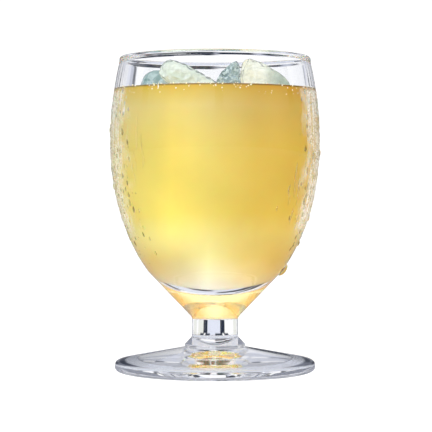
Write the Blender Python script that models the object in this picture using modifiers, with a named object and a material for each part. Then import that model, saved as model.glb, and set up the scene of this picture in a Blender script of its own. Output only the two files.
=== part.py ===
"""A short-stemmed bar glass of iced pastis, modelled at its real size.

The glass is one turned piece: a bowl, a solid cone, a stem and a foot. The cloudy drink fills
the bowl to a finger below the rim, and four melting pieces of ice stand out of it. Units are
metres, +Z is up, and the origin is the centre of the face that the foot rests on.
"""

import math
import random

import bmesh
import bpy
from mathutils import Vector

MM = 0.001

# Bowl: the outer wall is two half ellipses that meet at the widest ring
TOTAL_HEIGHT = 105.0 * MM
RIM_RADIUS = 31.5 * MM
WIDEST_RADIUS = 35.0 * MM
WIDEST_HEIGHT = 76.5 * MM
CONE_TOP_RADIUS = 22.2 * MM
CONE_TOP_HEIGHT = 32.9 * MM

# Inside of the bowl
RIM_THICKNESS = 1.9 * MM
WALL_THICKNESS = 2.1 * MM
FLOOR_HEIGHT = 30.6 * MM

# Stem, and the collar where it joins the foot
STEM_RADIUS = 7.8 * MM
STEM_TOP_HEIGHT = 17.8 * MM
STEM_FOOT_HEIGHT = 11.2 * MM
COLLAR_RADIUS = 10.2 * MM
COLLAR_HEIGHT = 8.7 * MM

# Foot, with a shallow hollow under it
FOOT_RADIUS = 33.6 * MM
FOOT_EDGE = 3.1 * MM
FOOT_CROWN_HEIGHT = 7.7 * MM
RING_INNER_RADIUS = 25.0 * MM
HOLLOW_FLAT_RADIUS = 10.0 * MM
HOLLOW_DEPTH = 1.7 * MM

# Drink
DRINK_LEVEL = 93.8 * MM
GAP = 0.35 * MM

# Facets
TURN_STEPS = 52
WALL_STEPS = 12
SHOULDER_STEPS = 6
LIP_STEPS = 4
FILLET_STEPS = 3
MERGE_DISTANCE = 0.01 * MM

# Ice: how far a cube has melted towards a ball, and how deep its dents are
ICE_MELT = 0.34
ICE_BALL_RADIUS = 0.60
ICE_DENT = 0.045
ICE_CUTS = 2

# Each piece of ice, in millimetres and degrees: edge lengths, centre, turn about X, Y and Z,
# how far its top falls from left to right, and the seed of its dents
ICE = {
    "ice_left_back": ((16.0, 12.0, 18.6), (-17.6, 7.4, 91.2), (4, 3, 12), 1.5, 11),
    "ice_left_front": ((23.0, 13.5, 8.6), (-7.4, -7.8, 95.8), (5, 29, 3), 0.0, 23),
    "ice_middle": ((8.2, 10.6, 18.6), (4.4, 8.8, 93.0), (0, 2, -5), -8.0, 37),
    "ice_right": ((16.2, 16.0, 21.0), (17.6, -2.2, 91.8), (-3, -7, 4), 10.5, 41),
}


def clear_scene():
    """Removes every object that the script would otherwise find in the file."""
    for old in list(bpy.data.objects):
        bpy.data.objects.remove(old, do_unlink=True)


def new_collection(name):
    """A collection linked to the scene."""
    made = bpy.data.collections.new(name)
    bpy.context.scene.collection.children.link(made)
    return made


def principled(name, colour, roughness, transmission=0.0, ior=1.45):
    """A non-metal material: colour, roughness, and how much light it lets through."""
    made = bpy.data.materials.new(name)
    made.use_nodes = True
    shader = made.node_tree.nodes["Principled BSDF"]
    shader.inputs["Base Color"].default_value = (*colour, 1.0)
    shader.inputs["Roughness"].default_value = roughness
    shader.inputs["Metallic"].default_value = 0.0
    shader.inputs["Transmission Weight"].default_value = transmission
    shader.inputs["IOR"].default_value = ior
    return made


def ellipse_arc(radius, semi_height, start_z, end_z, steps):
    """Points on an ellipse about the widest ring, at even angles from start_z to end_z."""
    start = math.asin(max(-1.0, (start_z - WIDEST_HEIGHT) / semi_height))
    end = math.asin(min(1.0, (end_z - WIDEST_HEIGHT) / semi_height))
    points = []
    for i in range(steps + 1):
        angle = start + (end - start) * i / steps
        points.append((radius * math.cos(angle), WIDEST_HEIGHT + semi_height * math.sin(angle)))
    return points


def semi_height_through(radius, at_radius, at_z):
    """Half height of the ellipse of this radius that passes through one given point."""
    return abs(at_z - WIDEST_HEIGHT) / math.sqrt(1.0 - (at_radius / radius) ** 2)


def rounded_corner(before, corner, after, fillet):
    """The corner of an outline as an arc of the fillet's radius that touches both sides."""
    here = Vector(corner)
    to_before = (Vector(before) - here).normalized()
    to_after = (Vector(after) - here).normalized()
    half_angle = to_before.angle(to_after) / 2
    centre = here + (to_before + to_after).normalized() * (fillet / math.sin(half_angle))
    reach = fillet / math.tan(half_angle)
    start = here + to_before * reach - centre
    end = here + to_after * reach - centre
    sweep = start.angle_signed(end)
    points = []
    for i in range(FILLET_STEPS + 1):
        angle = -sweep * i / FILLET_STEPS
        cos, sin = math.cos(angle), math.sin(angle)
        turned = Vector((cos * start.x - sin * start.y, sin * start.x + cos * start.y))
        points.append(tuple(centre + turned))
    return points


def outline(start, corners, end):
    """An outline from start to end whose corners, (radius, height, fillet), are rounded."""
    stops = [start] + [corner[:2] for corner in corners] + [end]
    points = []
    for i, corner in enumerate(corners):
        points += rounded_corner(stops[i], stops[i + 1], stops[i + 2], corner[2])
    return points + [end]


def inner_wall(inset, top, steps_below, steps_above):
    """Points up the inside of the bowl, moved in by inset, from its floor to the height top."""
    radius = WIDEST_RADIUS - WALL_THICKNESS
    lip_radius = RIM_RADIUS - RIM_THICKNESS
    below = WIDEST_HEIGHT - FLOOR_HEIGHT
    above = semi_height_through(radius, lip_radius, TOTAL_HEIGHT)
    floor = FLOOR_HEIGHT + inset
    lower = ellipse_arc(radius - inset, below - inset, floor, WIDEST_HEIGHT, steps_below)
    upper = ellipse_arc(radius - inset, above - inset, WIDEST_HEIGHT, top, steps_above)
    lower[0] = (0.0, floor)
    return lower + upper[1:]


def lip(inner, outer):
    """The rounded rim: a half ellipse from the inner wall's top to the outer wall's."""
    middle = (inner[0] + outer[0]) / 2
    half = (outer[0] - inner[0]) / 2
    rise = TOTAL_HEIGHT - inner[1]
    points = []
    for i in range(1, LIP_STEPS):
        angle = math.pi * (1 - i / LIP_STEPS)
        points.append((middle + half * math.cos(angle), inner[1] + rise * math.sin(angle)))
    return points


def outer_wall(top):
    """Points down the outside of the bowl, from the height top to where the cone begins."""
    above = semi_height_through(WIDEST_RADIUS, RIM_RADIUS, TOTAL_HEIGHT)
    below = semi_height_through(WIDEST_RADIUS, CONE_TOP_RADIUS, CONE_TOP_HEIGHT)
    upper = ellipse_arc(WIDEST_RADIUS, above, top, WIDEST_HEIGHT, SHOULDER_STEPS)
    lower = ellipse_arc(WIDEST_RADIUS, below, WIDEST_HEIGHT, CONE_TOP_HEIGHT, WALL_STEPS)
    return upper + lower[1:]


def stem_and_foot():
    """The outline from the cone's top down over the stem and the foot to the axis below."""
    corners = [
        (STEM_RADIUS, STEM_TOP_HEIGHT, 1.5 * MM),
        (STEM_RADIUS, STEM_FOOT_HEIGHT, 1.0 * MM),
        (COLLAR_RADIUS, COLLAR_HEIGHT, 0.9 * MM),
        (COLLAR_RADIUS, FOOT_CROWN_HEIGHT, 0.3 * MM),
        (FOOT_RADIUS, FOOT_EDGE, 1.4 * MM),
        (FOOT_RADIUS, 0.0, 1.3 * MM),
        (RING_INNER_RADIUS, 0.0, 4.0 * MM),
        (HOLLOW_FLAT_RADIUS, HOLLOW_DEPTH, 12.0 * MM),
    ]
    return outline((CONE_TOP_RADIUS, CONE_TOP_HEIGHT), corners, (0.0, HOLLOW_DEPTH))


def glass_profile():
    """The whole outline: up the inside, over the rim, down the outside and under the foot."""
    lip_height = TOTAL_HEIGHT - RIM_THICKNESS / 2
    inside = inner_wall(0.0, lip_height, WALL_STEPS, SHOULDER_STEPS)
    outside = outer_wall(lip_height)
    return inside + lip(inside[-1], outside[0]) + outside + stem_and_foot()


def drink_profile():
    """The drink's outline: out along its level surface and down the bowl's inside."""
    inside = inner_wall(GAP, DRINK_LEVEL, WALL_STEPS, SHOULDER_STEPS)
    return [(0.0, DRINK_LEVEL)] + inside[::-1]


def turned(name, profile, material, collection):
    """A solid of revolution about Z: the profile as a chain of edges with a Screw modifier."""
    mesh = bpy.data.meshes.new(name)
    shape = bmesh.new()
    verts = [shape.verts.new((radius, 0.0, height)) for radius, height in profile]
    for start, end in zip(verts, verts[1:]):
        shape.edges.new((start, end))
    shape.to_mesh(mesh)
    shape.free()
    made = bpy.data.objects.new(name, mesh)
    made.data.materials.append(material)
    collection.objects.link(made)
    screw = made.modifiers.new("turn", "SCREW")
    screw.axis = "Z"
    screw.angle = 2 * math.pi
    screw.steps = TURN_STEPS
    screw.render_steps = TURN_STEPS
    screw.use_merge_vertices = True
    screw.merge_threshold = MERGE_DISTANCE
    screw.use_smooth_shade = True
    return made


def ice_mesh(name, edges_mm, fall_mm, seed):
    """A cube in thirds, melted part of the way to a ball, dented at random, its top sloped."""
    draw = random.Random(seed)
    shape = bmesh.new()
    bmesh.ops.create_cube(shape, size=1.0)
    bmesh.ops.subdivide_edges(shape, edges=shape.edges[:], cuts=ICE_CUTS, use_grid_fill=True)
    for vert in shape.verts:
        ball = vert.co.normalized() * ICE_BALL_RADIUS
        dent = Vector([draw.uniform(-ICE_DENT, ICE_DENT) for _ in range(3)])
        vert.co = vert.co.lerp(ball, ICE_MELT) + dent
    bmesh.ops.scale(shape, vec=Vector(edges_mm) * MM, verts=shape.verts[:])
    for vert in shape.verts:
        from_left = vert.co.x / (edges_mm[0] * MM)
        up = vert.co.z / (edges_mm[2] * MM) + 0.5
        vert.co.z -= fall_mm * MM * from_left * up
    mesh = bpy.data.meshes.new(name)
    shape.to_mesh(mesh)
    shape.free()
    mesh.shade_smooth()
    return mesh


def ice_piece(name, mesh, centre_mm, turn_deg, collection):
    """One piece of ice in its place, its cage rounded by a Subdivision Surface."""
    made = bpy.data.objects.new(name, mesh)
    made.location = Vector(centre_mm) * MM
    made.rotation_euler = [math.radians(angle) for angle in turn_deg]
    collection.objects.link(made)
    rounding = made.modifiers.new("rounding", "SUBSURF")
    rounding.levels = 1
    rounding.render_levels = 1
    return made


def cut_round(drink, ice, mesh, centre_mm, turn_deg, cutters):
    """Takes the space of one piece of ice, with a gap all round it, out of the drink."""
    cutter = ice_piece("cutter_" + ice, mesh, centre_mm, turn_deg, cutters)
    cutter.hide_render = True
    cutter.display_type = "WIRE"
    swell = cutter.modifiers.new("gap", "DISPLACE")
    swell.mid_level = 0.0
    swell.strength = GAP
    cut = drink.modifiers.new("cut_" + ice, "BOOLEAN")
    cut.operation = "DIFFERENCE"
    cut.solver = "EXACT"
    cut.object = cutter


def main():
    clear_scene()
    parts = new_collection("glass_of_pastis")
    cutters = new_collection("cutters")
    clear_glass = principled("clear_glass", (0.96, 0.98, 0.98), 0.02, 1.0, 1.5)
    cloudy_drink = principled("cloudy_drink", (0.86, 0.70, 0.22), 0.12)
    clear_ice = principled("clear_ice", (0.86, 0.92, 0.90), 0.10, 0.85, 1.31)

    turned("glass", glass_profile(), clear_glass, parts)
    drink = turned("drink", drink_profile(), cloudy_drink, parts)
    for name, (edges_mm, centre_mm, turn_deg, fall_mm, seed) in ICE.items():
        mesh = ice_mesh(name, edges_mm, fall_mm, seed)
        mesh.materials.append(clear_ice)
        ice_piece(name, mesh, centre_mm, turn_deg, parts)
        cut_round(drink, name, mesh, centre_mm, turn_deg, cutters)


main()
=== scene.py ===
# %% [markdown]
# # A glass of iced pastis
# This lesson dresses one drink: a short-stemmed bar glass, a cloudy yellow drink, four melting
# pieces of ice, the bubbles round them, and the condensation on the cold bowl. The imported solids
# are loaded first and never move. Every new surface is worked out with numpy, and every length is
# in metres, with +Z up and the origin under the middle of the foot.

import bpy
import numpy as np
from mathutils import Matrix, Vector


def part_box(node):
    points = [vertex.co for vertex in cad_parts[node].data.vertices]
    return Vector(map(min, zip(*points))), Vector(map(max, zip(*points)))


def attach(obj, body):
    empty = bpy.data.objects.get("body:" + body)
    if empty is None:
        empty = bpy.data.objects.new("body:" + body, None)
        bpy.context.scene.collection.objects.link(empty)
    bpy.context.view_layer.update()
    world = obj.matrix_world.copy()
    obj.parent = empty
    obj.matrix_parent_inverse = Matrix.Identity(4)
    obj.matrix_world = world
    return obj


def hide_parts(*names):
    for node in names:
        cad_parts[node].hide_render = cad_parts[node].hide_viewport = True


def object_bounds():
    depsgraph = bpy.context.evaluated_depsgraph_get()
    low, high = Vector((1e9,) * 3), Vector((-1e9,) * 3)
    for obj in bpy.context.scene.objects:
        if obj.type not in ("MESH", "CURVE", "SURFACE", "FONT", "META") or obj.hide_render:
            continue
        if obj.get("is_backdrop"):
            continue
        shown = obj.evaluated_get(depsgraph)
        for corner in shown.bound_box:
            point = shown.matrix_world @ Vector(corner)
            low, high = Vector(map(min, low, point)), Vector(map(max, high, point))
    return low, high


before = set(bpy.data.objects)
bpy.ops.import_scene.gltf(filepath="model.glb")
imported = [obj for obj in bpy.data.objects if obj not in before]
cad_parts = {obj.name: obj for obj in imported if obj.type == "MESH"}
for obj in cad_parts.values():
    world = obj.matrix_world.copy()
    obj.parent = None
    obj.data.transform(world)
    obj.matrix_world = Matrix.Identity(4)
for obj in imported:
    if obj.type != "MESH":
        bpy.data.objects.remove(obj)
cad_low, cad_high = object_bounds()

MM = 0.001
print("nodes:", ", ".join(sorted(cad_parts)))

# %% [markdown]
# ## The camera
# The photograph was taken from a little above the middle of the glass, with a long lens. The eye
# is level with the height at which a ring of the glass would look like a straight line, and its
# distance follows from how much the rings above and below that height open up. The widest ring of
# the glass gives the scale, so the camera's place can be worked out from pixels of the photograph.
# Light passes many faces of glass and ice on its way, so it may bend and bounce often.

# %% Place the camera
IMAGE_WIDTH = 432
WIDEST_RING_PIXELS = 208.5
AXIS_COLUMN = 215.0
FLOOR_ROW = 370.0
EYE_ROW = 192.0
DISTANCE_PIXELS = 1570.0
BOUNCES = 32
GLOSSY_BOUNCES = 24

metres_per_pixel = (cad_high.x - cad_low.x) / WIDEST_RING_PIXELS
camera_data = bpy.data.cameras.new("camera")
camera_data.lens = camera_data.sensor_width * DISTANCE_PIXELS / IMAGE_WIDTH
camera = bpy.data.objects.new("camera", camera_data)
camera.location = (
    (IMAGE_WIDTH / 2 - AXIS_COLUMN) * metres_per_pixel,
    -DISTANCE_PIXELS * metres_per_pixel,
    (FLOOR_ROW - EYE_ROW) * metres_per_pixel,
)
look_down = np.arctan((IMAGE_WIDTH / 2 - EYE_ROW) / DISTANCE_PIXELS)
camera.rotation_euler = (np.pi / 2 - look_down, 0, 0)
bpy.context.scene.collection.objects.link(camera)
bpy.context.scene.camera = camera
bpy.context.scene.view_settings.view_transform = "Standard"
light_paths = bpy.context.scene.cycles
light_paths.max_bounces = BOUNCES
light_paths.glossy_bounces = GLOSSY_BOUNCES
light_paths.transmission_bounces = BOUNCES
light_paths.transparent_max_bounces = BOUNCES
print("camera at", [round(x, 4) for x in camera.location], "lens", round(camera_data.lens, 1))

# %% [markdown]
# ## From arrays to meshes
# Nearly every piece here is round, so one way of building serves them all: rings of points between
# two poles. The points are one array, the faces another, and the order of a face's corners decides
# which way it points. The volume that the faces enclose tells whether they point outwards.

# %% Make closed surfaces from rings of points
def ring_faces(rings, around):
    """Quads between neighbouring rings: point j of ring i has the number 1 + i * around + j."""
    i, j = np.meshgrid(np.arange(rings - 1), np.arange(around), indexing="ij")
    after = (j + 1) % around
    corners = [i * around + j, i * around + after, (i + 1) * around + after, (i + 1) * around + j]
    return 1 + np.stack(corners, axis=-1).reshape(-1, 4)


def pole_faces(pole, first, around):
    """A fan of triangles from one pole to the ring whose points start at the number first."""
    j = np.arange(around)
    return np.stack([np.full(around, pole), first + (j + 1) % around, first + j], axis=-1)


def enclosed_volume(points, triangles):
    """A sixth of the sum of the determinants of the triangles' corners."""
    return np.linalg.det(points[triangles]).sum() / 6


def closed_faces(rings, around, points):
    """The quads and the two fans of a closed surface, all turned so that they face outwards."""
    quads = ring_faces(rings, around)
    last = 1 + (rings - 1) * around
    start_fan = pole_faces(0, 1, around)
    end_fan = pole_faces(last + around, last, around)[:, ::-1]
    halves = np.concatenate([quads[:, [0, 1, 2]], quads[:, [0, 2, 3]], start_fan, end_fan])
    if enclosed_volume(points, halves) < 0:
        quads, start_fan, end_fan = quads[:, ::-1], start_fan[:, ::-1], end_fan[:, ::-1]
    return quads, np.concatenate([start_fan, end_fan])


def mesh_piece(name, points, *face_arrays):
    """A smooth-shaded mesh object at the origin, from an array of points and arrays of faces."""
    faces = [face for array in face_arrays for face in array.tolist()]
    mesh = bpy.data.meshes.new(name)
    mesh.from_pydata(points.tolist(), [], faces)
    mesh.shade_smooth()
    mesh.update()
    piece = bpy.data.objects.new(name, mesh)
    bpy.context.scene.collection.objects.link(piece)
    print(f"{name}: {len(points)} points, {len(faces)} faces")
    return piece


def turned_piece(name, profile, around):
    """A surface of revolution: x = radius cos(a), y = radius sin(a), z = height, a full turn."""
    angle = np.linspace(0, 2 * np.pi, around, endpoint=False)
    radius, height = profile[1:-1, :1], profile[1:-1, 1:]
    rings = np.stack(
        [radius * np.cos(angle), radius * np.sin(angle), height + 0 * angle], axis=-1
    )
    start = [0, 0, profile[0, 1]]
    end = [0, 0, profile[-1, 1]]
    points = np.concatenate([[start], rings.reshape(-1, 3), [end]])
    return mesh_piece(name, points, *closed_faces(len(rings), around, points))


# %% [markdown]
# ## The outline of the glass
# A pressed glass is a turned shape, so its outline says everything. Its bowl is two half ellipses
# that meet at the widest ring, inside and outside alike. Below them come a solid cone, a short
# stem, a collar and a wide foot with a shallow hollow under it, all joined by small round fillets.
# The sizes are those of the solid, and the two largest are read from it. Only the small bead at
# the rim, where fire has rounded it, is added here.

# %% Sizes of the glass
TOTAL_HEIGHT = cad_high.z
WIDEST_RADIUS = cad_high.x
WIDEST_HEIGHT = 76.5 * MM
RIM_RADIUS = 31.5 * MM
RIM_THICKNESS = 1.9 * MM
WALL_THICKNESS = 2.1 * MM
FLOOR_HEIGHT = 30.6 * MM
CONE_TOP = (22.2 * MM, 32.9 * MM)
HOLLOW_DEPTH = 1.7 * MM
FOOT_CORNERS = (
    # radius, height, fillet
    (7.8 * MM, 17.8 * MM, 1.5 * MM),
    (7.8 * MM, 11.2 * MM, 1.0 * MM),
    (10.2 * MM, 8.7 * MM, 0.9 * MM),
    (10.2 * MM, 7.7 * MM, 0.3 * MM),
    (33.6 * MM, 3.1 * MM, 1.4 * MM),
    (33.6 * MM, 0.0 * MM, 1.3 * MM),
    (25.0 * MM, 0.0 * MM, 4.0 * MM),
    (10.0 * MM, HOLLOW_DEPTH, 12.0 * MM),
)
OUTLINE_STEP = 1.2 * MM
FILLET_STEPS = 8


# %% Arcs, fillets and straight runs
def half_height(radius, at_radius, at_height):
    """Half height of the ellipse of this radius, about the widest ring, through one point."""
    return abs(at_height - WIDEST_HEIGHT) / np.sqrt(1 - (at_radius / radius) ** 2)


def bowl_arc(radius, semi, start, end, steps):
    """Radius = radius cos(t) and height = widest + semi sin(t), at even steps of t."""
    limits = np.clip((np.array([start, end]) - WIDEST_HEIGHT) / semi, -1, 1)
    t = np.linspace(*np.arcsin(limits), steps + 1)
    return np.column_stack([radius * np.cos(t), WIDEST_HEIGHT + semi * np.sin(t)])


def straight_run(start, end):
    """Even points from start to end, both included, about one outline step apart."""
    start, end = np.array(start), np.array(end)
    steps = int(np.ceil(np.linalg.norm(end - start) / OUTLINE_STEP))
    return start + (end - start) * np.linspace(0, 1, steps + 1)[:, None]


def fillet_arc(before, corner, after, radius):
    """The arc that touches both sides of a corner: corner, centre and touching points form two
    right-angled triangles, so the centre is radius / sin(half the angle) along the bisector."""
    before, corner, after = (np.array(p, float) for p in (before, corner, after))
    to_before = (before - corner) / np.linalg.norm(before - corner)
    to_after = (after - corner) / np.linalg.norm(after - corner)
    half = np.arccos(np.clip(to_before @ to_after, -1, 1)) / 2
    bisector = (to_before + to_after) / np.linalg.norm(to_before + to_after)
    centre = corner + bisector * radius / np.sin(half)
    start = corner + to_before * radius / np.tan(half) - centre
    end = corner + to_after * radius / np.tan(half) - centre
    turn = np.arctan2(start[0] * end[1] - start[1] * end[0], start @ end)
    angle = np.linspace(0, turn, FILLET_STEPS + 1)
    x = start[0] * np.cos(angle) - start[1] * np.sin(angle)
    y = start[0] * np.sin(angle) + start[1] * np.cos(angle)
    return centre + np.column_stack([x, y])


def filleted(start, corners, end):
    """Straight runs from start to end whose corners, (radius, height, fillet), are rounded."""
    stops = [start] + [corner[:2] for corner in corners] + [end]
    parts = []
    here = start
    for i, corner in enumerate(corners):
        arc = fillet_arc(stops[i], stops[i + 1], stops[i + 2], corner[2])
        parts += [straight_run(here, arc[0])[1:], arc[1:]]
        here = arc[-1]
    return np.concatenate(parts + [straight_run(here, end)[1:]])


# %% Work out the outline
WALL_STEPS = 70
SHOULDER_STEPS = 90
LIP_STEPS = 16
BEAD_BULGE = 0.22 * MM
BEAD_DROP = 0.95 * MM
BEAD_WIDTH = 0.7 * MM


def inner_wall(inset, top):
    """The inside of the bowl, moved in by inset, from the middle of its floor up to top."""
    radius = WIDEST_RADIUS - WALL_THICKNESS
    above = half_height(radius, RIM_RADIUS - RIM_THICKNESS, TOTAL_HEIGHT) - inset
    below = WIDEST_HEIGHT - FLOOR_HEIGHT - inset
    floor = WIDEST_HEIGHT - below
    lower = bowl_arc(radius - inset, below, floor, WIDEST_HEIGHT, WALL_STEPS)
    upper = bowl_arc(radius - inset, above, WIDEST_HEIGHT, top, SHOULDER_STEPS)
    return np.concatenate([[[0, floor]], lower[1:], upper[1:]])


def outer_wall(top):
    """The outside of the bowl, from top down to where the cone begins."""
    above = half_height(WIDEST_RADIUS, RIM_RADIUS, TOTAL_HEIGHT)
    below = half_height(WIDEST_RADIUS, *CONE_TOP)
    upper = bowl_arc(WIDEST_RADIUS, above, top, WIDEST_HEIGHT, SHOULDER_STEPS)
    lower = bowl_arc(WIDEST_RADIUS, below, WIDEST_HEIGHT, CONE_TOP[1], WALL_STEPS)
    return np.concatenate([upper, lower[1:]])


def lip_arc(inner, outer):
    """A half ellipse over the rim, between the tops of the inner and the outer wall."""
    middle, half = (inner[0] + outer[0]) / 2, (outer[0] - inner[0]) / 2
    t = np.linspace(np.pi, 0, LIP_STEPS + 1)[1:-1]
    rise = TOTAL_HEIGHT - inner[1]
    return np.column_stack([middle + half * np.cos(t), inner[1] + rise * np.sin(t)])


def with_bead(wall, side):
    """Moves a wall sideways by the bead's bump: bulge * exp(-(height from the bead / width)^2)."""
    height = wall[:, 1]
    bead = BEAD_BULGE * np.exp(-(((height - TOTAL_HEIGHT + BEAD_DROP) / BEAD_WIDTH) ** 2))
    return np.column_stack([wall[:, 0] + side * bead, height])


lip_height = TOTAL_HEIGHT - RIM_THICKNESS / 2
inside = with_bead(inner_wall(0.0, lip_height), -1)
outside = with_bead(outer_wall(lip_height), 1)
below_bowl = filleted(CONE_TOP, FOOT_CORNERS, (0.0, HOLLOW_DEPTH))
glass_outline = np.concatenate([inside, lip_arc(inside[-1], outside[0]), outside, below_bowl])
print("outline of the glass:", len(glass_outline), "points")

# %% Turn the glass
GLASS_AROUND = 192
glass = turned_piece("clear_glass", glass_outline, GLASS_AROUND)


# %% [markdown]
# ## Tools for materials
# A material is a small network of nodes. These helpers only save typing. Some make a material, a
# node or a link. The others take sockets or numbers and hand back a socket: a colour from a ramp,
# a noise, a soft step, a share between two limits, or a blend of two colours.

# %% Helpers for materials
def new_material(name):
    """A material with nodes, its tree, and its Principled shader."""
    material = bpy.data.materials.new(name)
    material.use_nodes = True
    return material, material.node_tree, material.node_tree.nodes["Principled BSDF"]


def set_inputs(node, inputs):
    """Sets the values of a node's inputs, each found by its name or number."""
    for socket, value in dict(inputs).items():
        node.inputs[socket].default_value = value


def add_node(tree, kind, inputs=(), **settings):
    """A node of this kind, with settings by name and input values by name or number."""
    node = tree.nodes.new(kind)
    for setting, value in settings.items():
        setattr(node, setting, value)
    set_inputs(node, inputs)
    return node


def join(tree, source, socket, target, target_socket):
    """A link from one node's output to another node's input."""
    tree.links.new(source.outputs[socket], target.inputs[target_socket])


def coloured_ramp(tree, value, stops):
    """The colour at a value, from a ramp with a stop for each (place, (red, green, blue))."""
    ramp = tree.nodes.new("ShaderNodeValToRGB")
    elements = ramp.color_ramp.elements
    elements[0].position, elements[0].color = stops[0][0], (*stops[0][1], 1)
    elements[1].position, elements[1].color = stops[-1][0], (*stops[-1][1], 1)
    for place, colour in stops[1:-1]:
        elements.new(place).color = (*colour, 1)
    tree.links.new(value, ramp.inputs[0])
    return ramp.outputs["Color"]


def maths(tree, operation, first, second=None):
    """A Math node on one or two values, each a socket or a number."""
    node = tree.nodes.new("ShaderNodeMath")
    node.operation = operation
    for i, value in enumerate((first, second)):
        if isinstance(value, bpy.types.NodeSocket):
            tree.links.new(value, node.inputs[i])
        elif value is not None:
            node.inputs[i].default_value = value
    return node.outputs[0]


def product(tree, first, second):
    """The product of two values, each a socket or a number."""
    return maths(tree, "MULTIPLY", first, second)


def rest_of(tree, share):
    """What a share leaves of one."""
    return maths(tree, "SUBTRACT", 1.0, share)


def share_of(tree, value, start, end):
    """How far a value is on its way from start to end, from 0 to 1."""
    node = add_node(tree, "ShaderNodeMapRange", {"From Min": start, "From Max": end})
    tree.links.new(value, node.inputs[0])
    return node.outputs[0]


def soft_step(tree, value, at, edge):
    """0 below a value and 1 above it, with a smooth edge on both sides."""
    step = add_node(
        tree,
        "ShaderNodeMapRange",
        {"From Min": at - edge, "From Max": at + edge},
        interpolation_type="SMOOTHSTEP",
    )
    tree.links.new(value, step.inputs[0])
    return step.outputs[0]


def between(tree, value, limits, edge):
    """1 between two values and 0 outside them, with smooth edges."""
    above = soft_step(tree, value, limits[0], edge)
    beyond = soft_step(tree, value, limits[1], edge)
    return maths(tree, "SUBTRACT", above, beyond)


def blend(tree, share, first, second):
    """first where share is 0 and second where it is 1, each a socket or a colour."""
    node = add_node(tree, "ShaderNodeMix", data_type="RGBA")
    tree.links.new(share, node.inputs["Factor"])
    for name, value in (("A", first), ("B", second)):
        if isinstance(value, bpy.types.NodeSocket):
            tree.links.new(value, node.inputs[name])
        else:
            node.inputs[name].default_value = (*value, 1)
    return node.outputs["Result"]


def multiplied(tree, first, second):
    """The product of two colour sockets."""
    node = add_node(tree, "ShaderNodeMix", data_type="RGBA", blend_type="MULTIPLY")
    node.inputs["Factor"].default_value = 1.0
    tree.links.new(first, node.inputs["A"])
    tree.links.new(second, node.inputs["B"])
    return node.outputs["Result"]


def object_place(tree):
    """The place of the point shaded, in Object coordinates."""
    return add_node(tree, "ShaderNodeTexCoord").outputs["Object"]


def split(tree, vector):
    """The X, Y and Z of a vector or of a colour."""
    node = add_node(tree, "ShaderNodeSeparateXYZ")
    tree.links.new(vector, node.inputs[0])
    return node.outputs


def noise(tree, vector, scale, detail, **more):
    """A smooth random value from 0 to 1 at a vector."""
    node = add_node(tree, "ShaderNodeTexNoise", {"Scale": scale, "Detail": detail, **more})
    tree.links.new(vector, node.inputs["Vector"])
    return node.outputs[0]


# %% [markdown]
# ## Clear glass
# Clear glass is all refraction, so its material is simple: full transmission and an index of 1.5.
# A shadow ray would stop at it, and the drink behind would go dark. So for shadow rays, and for
# rays that come off a matt surface, the glass counts as clear air. The cold bowl has misted over
# at its sides and back. There a share of the glass is matt and white, with a ragged edge, upright
# streaks and fine grains, and the right side has a little more of it.

# %% The glass material
def let_shadows_through(material, tint):
    """Shadow rays and diffuse rays see a transparent shader of this tint instead."""
    tree = material.node_tree
    path = add_node(tree, "ShaderNodeLightPath").outputs
    either = maths(tree, "MAXIMUM", path["Is Shadow Ray"], path["Is Diffuse Ray"])
    clear = add_node(tree, "ShaderNodeBsdfTransparent", {"Color": (*tint, 1)})
    mix = add_node(tree, "ShaderNodeMixShader")
    tree.links.new(either, mix.inputs[0])
    join(tree, tree.nodes["Principled BSDF"], "BSDF", mix, 1)
    join(tree, clear, "BSDF", mix, 2)
    join(tree, mix, "Shader", tree.nodes["Material Output"], "Surface")


GLASS_INDEX = 1.5
GLASS_TINT = (0.985, 0.99, 0.995)
GLASS_SHADOW = (0.96, 0.97, 0.98)
MIST_FROM_FRONT, MIST_SIDE_EDGE = np.radians((60.0, 9.0))
MIST_RAGGED = 0.5
MIST_BOTTOM, MIST_BOTTOM_EDGE = 47 * MM, 5 * MM
MIST_TOP, MIST_TOP_EDGE = 93.5 * MM, 1.2 * MM
MIST_TEXTURE, MIST_TEXTURE_EDGE = 0.92, 0.32
MIST_COVER = 0.45
MORE_MIST, MORE_MIST_EDGE = 0.25, 20 * MM
MIST_ROUGHNESS = 0.4
STREAK_SQUEEZE = (1, 1, 0.06)
PATCH_SCALE, STREAK_SCALE, GRAIN_SCALE = 150.0, 900.0, 2400.0
glass_material, tree, shader = new_material("clear_glass")
place = object_place(tree)
x, y, z = split(tree, place)
squeeze = add_node(tree, "ShaderNodeVectorMath", {1: STREAK_SQUEEZE}, operation="MULTIPLY")
tree.links.new(place, squeeze.inputs[0])
patches = noise(tree, place, PATCH_SCALE, 3.0)
streaks = noise(tree, squeeze.outputs[0], STREAK_SCALE, 2.0)
grains = noise(tree, place, GRAIN_SCALE, 1.0)
sideways = maths(tree, "ABSOLUTE", x)
forwards = product(tree, y, -1.0)
ragged = product(tree, patches, MIST_RAGGED)
angle = maths(tree, "ADD", maths(tree, "ARCTAN2", sideways, forwards), ragged)
mist = soft_step(tree, angle, MIST_FROM_FRONT + MIST_RAGGED / 2, MIST_SIDE_EDGE)
mist = product(tree, mist, soft_step(tree, z, MIST_BOTTOM, MIST_BOTTOM_EDGE))
mist = product(tree, mist, rest_of(tree, soft_step(tree, z, MIST_TOP, MIST_TOP_EDGE)))
texture = maths(tree, "ADD", streaks, grains)
mist = product(tree, mist, soft_step(tree, texture, MIST_TEXTURE, MIST_TEXTURE_EDGE))
on_right = soft_step(tree, x, 0.0, MORE_MIST_EDGE)
cover = maths(tree, "ADD", product(tree, on_right, MORE_MIST), MIST_COVER)
clear_share = rest_of(tree, product(tree, mist, cover))
tree.links.new(clear_share, shader.inputs["Transmission Weight"])
tree.links.new(product(tree, mist, MIST_ROUGHNESS), shader.inputs["Roughness"])
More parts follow.
